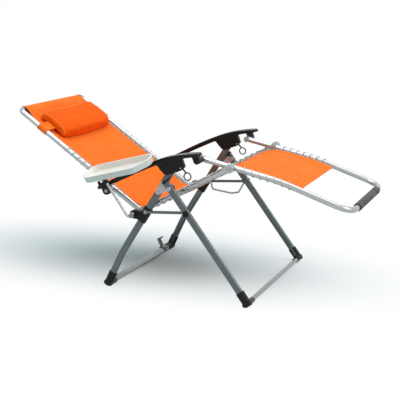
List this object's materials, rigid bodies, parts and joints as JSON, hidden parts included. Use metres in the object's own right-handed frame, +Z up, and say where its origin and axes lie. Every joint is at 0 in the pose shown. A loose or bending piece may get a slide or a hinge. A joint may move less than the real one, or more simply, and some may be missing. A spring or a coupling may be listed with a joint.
{
  "type": "zero gravity recliner",
  "caption": "Folding reclining lounge chair with a laced sling on tube frames, crossed leg frames, locking arms, head roll and a side tray.",
  "frame": {"origin": "on the floor, on the chair's middle plane, under the leg hinges", "axes": "+X to the sitter's feet, +Y to the sitter's left, +Z up"},
  "size_m": [1.4003, 0.8156, 0.6847],
  "materials": {
    "satin_leg": "satin grey powder coat",
    "bright_tube": "bright silver lacquer",
    "black_plastic": "fine moulded grain",
    "steel": "zinc plated",
    "bush_plastic": "moulded nylon",
    "sling_cloth": "orange woven mesh",
    "elastic_cord": "braided elastic",
    "grip_foam": "foam sleeve",
    "tray_plastic": "satin moulded"
  },
  "bodies": {
    "rear_legs": {"rear_leg_tubes": "satin_leg", "rear_foot_bar": "satin_leg", "rear_foot_caps": "black_plastic", "leg_hinge_plates": "steel", "leg_hinge_bolts": "steel", "lock_blocks": "black_plastic", "fold_clip": "satin_leg"},
    "front_legs": {"front_leg_tubes": "satin_leg", "front_foot_bar": "satin_leg", "front_foot_caps": "black_plastic", "front_leg_ends": "black_plastic", "strut_knobs": "black_plastic"},
    "sleeves": {"leg_sleeves": "black_plastic", "hip_pins": "steel"},
    "strut_pair": {"struts": "satin_leg", "bail_wire": "steel"},
    "seat_hub": {"seat_bushes": "bush_plastic"},
    "seat": {"seat_rails": "bright_tube", "knee_blocks": "bright_tube", "knee_pins": "steel", "seat_sling": "sling_cloth", "seat_lacing": "elastic_cord", "seat_eyelets": "steel"},
    "back_hub": {"back_bushes": "bush_plastic"},
    "back": {"back_tube": "bright_tube", "back_sling": "sling_cloth", "back_lacing": "elastic_cord", "back_eyelets": "steel", "head_stops": "black_plastic", "arm_rear_pins": "steel"},
    "arm_hub": {"arm_bushes": "bush_plastic"},
    "arms": {"arm_right": "black_plastic", "arm_left": "black_plastic", "lever_pins": "steel"},
    "leg_hub": {"knee_bushes": "bush_plastic"},
    "leg_rest": {"leg_rest_tube": "bright_tube", "foot_grip": "grip_foam", "leg_sling": "sling_cloth", "leg_lacing": "elastic_cord", "leg_eyelets": "steel", "arm_front_pins": "steel"},
    "right_lever": {"lever_right": "black_plastic"},
    "left_lever": {"lever_left": "black_plastic"},
    "roll": {"head_roll": "sling_cloth", "roll_straps": "sling_cloth"},
    "tray_swing": {"tray_arm": "bright_tube", "tray_collar": "black_plastic"},
    "wing": {"wing_screw": "black_plastic"},
    "tray_top": {"tray_bracket": "steel", "tray": "tray_plastic"}
  },
  "joints": [
    {"name": "leg_fold", "type": "hinge", "parent": "rear_legs", "child": "front_legs", "pos_m": [-0.018, 0, 0.424], "axis": [0, 1, 0], "range_deg": [0, 57]},
    {"name": "sleeve_slide", "type": "slide", "parent": "rear_legs", "child": "sleeves", "axis": [-0.5299, 0, -0.848], "range_m": [0, 0.14]},
    {"name": "strut_turn", "type": "hinge", "parent": "sleeves", "child": "strut_pair", "pos_m": [-0.12786, 0, 0.31978], "axis": [0, -1, 0], "range_deg": [0, 39.3]},
    {"name": "seat_fold", "type": "hinge", "parent": "sleeves", "child": "seat_hub", "pos_m": [-0.18, 0, 0.305], "axis": [0, -1, 0], "range_deg": [0, 29.2]},
    {"name": "seat_tilt", "type": "hinge", "parent": "seat_hub", "child": "seat", "pos_m": [-0.18, 0, 0.305], "axis": [0, 1, 0], "range_deg": [0, 8.6]},
    {"name": "back_fold", "type": "hinge", "parent": "seat", "child": "back_hub", "pos_m": [-0.18, 0, 0.305], "axis": [0, 1, 0], "range_deg": [0, 87.8]},
    {"name": "recline", "type": "hinge", "parent": "back_hub", "child": "back", "pos_m": [-0.18, 0, 0.305], "axis": [0, 1, 0], "range_deg": [0, 16.82]},
    {"name": "arm_fold", "type": "hinge", "parent": "back", "child": "arm_hub", "pos_m": [-0.29945, 0, 0.38649], "axis": [0, -1, 0], "range_deg": [0, 91.6]},
    {"name": "arm_tilt", "type": "hinge", "parent": "arm_hub", "child": "arms", "pos_m": [-0.29945, 0, 0.38649], "axis": [0, -1, 0], "range_deg": [0, 19.6]},
    {"name": "leg_rest_fold", "type": "hinge", "parent": "seat", "child": "leg_hub", "pos_m": [0.199, 0, 0.507], "axis": [0, 1, 0], "range_deg": [0, 102]},
    {"name": "leg_rest_tilt", "type": "hinge", "parent": "leg_hub", "child": "leg_rest", "pos_m": [0.199, 0, 0.507], "axis": [0, 1, 0], "range_deg": [0, 25.4]},
    {"name": "right_lock", "type": "hinge", "parent": "arms", "child": "right_lever", "pos_m": [0.01856, -0.293, 0.50115], "axis": [0, 1, 0], "range_deg": [0, 20], "stiffness_Nm_per_rad": 0.25, "springref_deg": -14.32},
    {"name": "left_lock", "type": "hinge", "parent": "arms", "child": "left_lever", "pos_m": [0.01856, 0.293, 0.50115], "axis": [0, 1, 0], "range_deg": [0, 20], "stiffness_Nm_per_rad": 0.25, "springref_deg": -14.32},
    {"name": "roll_slide", "type": "slide", "parent": "back", "child": "roll", "axis": [-0.8261, 0, 0.5635], "range_m": [-0.05, 0.003]},
    {"name": "tray_swing_turn", "type": "hinge", "parent": "sleeves", "child": "tray_swing", "pos_m": [-0.18, -0.353, 0.305], "axis": [0, -1, 0], "range_deg": [-14, 64]},
    {"name": "wing_turn", "type": "hinge", "parent": "tray_swing", "child": "wing", "pos_m": [-0.27221, -0.353, 0.43661], "axis": [-0.819, 0, -0.5738], "range_deg": [-90, 180]},
    {"name": "tray_tilt", "type": "hinge", "parent": "tray_swing", "child": "tray_top", "pos_m": [-0.29, -0.353, 0.462], "axis": [0, -1, 0], "range_deg": [-30, 25]}
  ],
  "couplings": [
    {"joint": "sleeve_slide", "follows": "leg_fold", "m_per_rad": 0.12082},
    {"joint": "strut_turn", "follows": "leg_fold", "ratio": 0.5921},
    {"joint": "seat_fold", "follows": "leg_fold", "ratio": 0.43909},
    {"joint": "back_fold", "follows": "leg_fold", "ratio": 1.3235},
    {"joint": "arm_fold", "follows": "leg_fold", "ratio": 1.3817},
    {"joint": "leg_rest_fold", "follows": "leg_fold", "ratio": 1.5388},
    {"joint": "seat_tilt", "follows": "recline", "ratio": 0.50238},
    {"joint": "arm_tilt", "follows": "recline", "ratio": 1.1561},
    {"joint": "leg_rest_tilt", "follows": "recline", "ratio": 1.5033}
  ]
}
